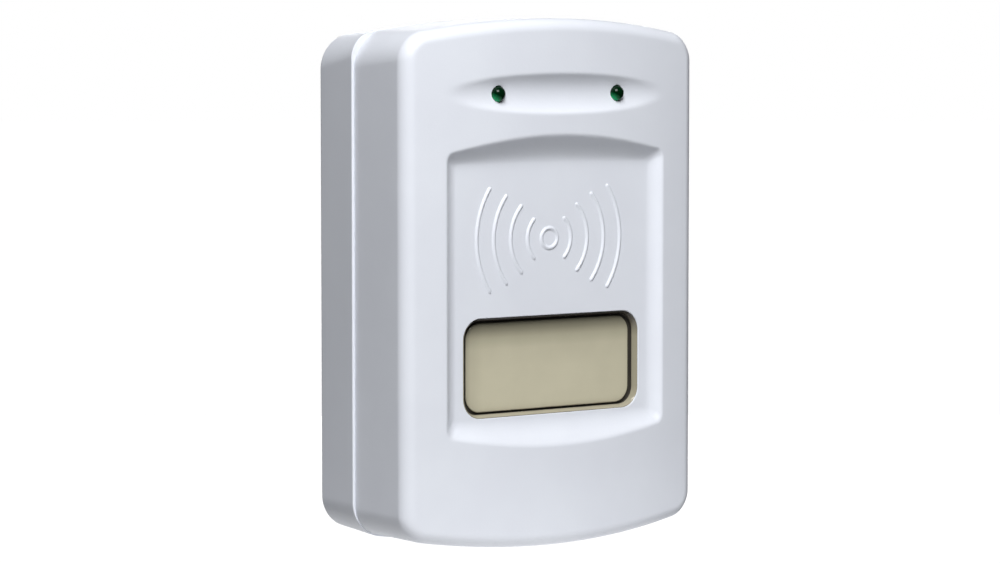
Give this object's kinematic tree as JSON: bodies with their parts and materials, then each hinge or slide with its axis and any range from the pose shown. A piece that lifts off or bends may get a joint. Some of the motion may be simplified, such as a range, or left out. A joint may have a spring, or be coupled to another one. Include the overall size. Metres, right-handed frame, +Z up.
{
  "type": "ultrasonic pest repeller",
  "caption": "Plug-in wall unit with an arched white two-shell housing, recessed front panel, green indicator lights, a night-light window and an ultrasonic transducer facing down.",
  "frame": {"origin": "middle of the flat rear face, which lies against the wall plate", "axes": "+X right as seen from the front, +Y into the wall, +Z up"},
  "size_m": [0.0708, 0.0494, 0.1017],
  "materials": {
    "housing_white": "satin",
    "inner_white": "satin",
    "switch_white": "satin",
    "label_paper": "satin",
    "screw_steel": "satin",
    "lens_beige": "gloss",
    "gasket_black": "matte",
    "panel_beige": "satin",
    "led_green": "polished",
    "lead_tin": "satin",
    "board_green": "satin",
    "component_black": "matte",
    "component_tan": "satin",
    "ceramic_blue": "satin",
    "film_yellow": "satin",
    "sleeve_blue": "gloss",
    "winding_copper": "gloss",
    "ferrite_grey": "matte",
    "transducer_aluminium": "satin",
    "screen_cloth": "matte",
    "wire_red": "satin",
    "blade_brass": "polished"
  },
  "bodies": {
    "housing": {"front_shell": "housing_white", "rear_shell": "housing_white", "rating_label": "label_paper", "housing_screw_upper_left": "screw_steel", "housing_screw_upper_right": "screw_steel", "housing_screw_lower_left": "screw_steel", "housing_screw_lower_right": "screw_steel", "window_lens": "lens_beige", "panel_gasket": "gasket_black", "night_light_panel": "panel_beige", "panel_retainer": "inner_white", "panel_screw_left": "screw_steel", "panel_screw_right": "screw_steel", "panel_lead_left": "wire_red", "panel_lead_right": "wire_red", "led_left": "led_green", "led_right": "led_green", "led_spacer_left": "inner_white", "led_spacer_right": "inner_white", "led_left_anode": "lead_tin", "led_left_cathode": "lead_tin", "led_right_anode": "lead_tin", "led_right_cathode": "lead_tin", "main_board": "board_green", "board_screw_upper_left": "screw_steel", "board_screw_upper_right": "screw_steel", "board_screw_lower_left": "screw_steel", "board_screw_lower_right": "screw_steel", "fuse": "component_tan", "varistor": "ceramic_blue", "x2_capacitor": "film_yellow", "filter_capacitor": "sleeve_blue", "output_capacitor": "sleeve_blue", "bridge_rectifier": "component_black", "oscillator_chip": "component_black", "drive_transistor": "component_black", "timing_resistor": "component_tan", "drive_resistor": "component_tan", "transformer_bobbin": "component_black", "transformer_winding": "winding_copper", "transformer_core": "ferrite_grey", "transducer_case": "transducer_aluminium", "transducer_cone": "transducer_aluminium", "transducer_base": "component_black", "transducer_grommet": "gasket_black", "transducer_screen": "screen_cloth", "transducer_wire_left": "wire_red", "transducer_wire_right": "wire_red", "blade_line": "blade_brass", "blade_neutral": "blade_brass", "blade_retainer": "inner_white", "retainer_screw_left": "screw_steel", "retainer_screw_right": "screw_steel", "switch_case": "component_black"},
    "slider": {"switch_slider": "switch_white"}
  },
  "joints": [
    {"name": "night_light_switch", "type": "slide", "parent": "housing", "child": "slider", "axis": [0, 0, 1], "range_m": [0, 0.002]}
  ]
}
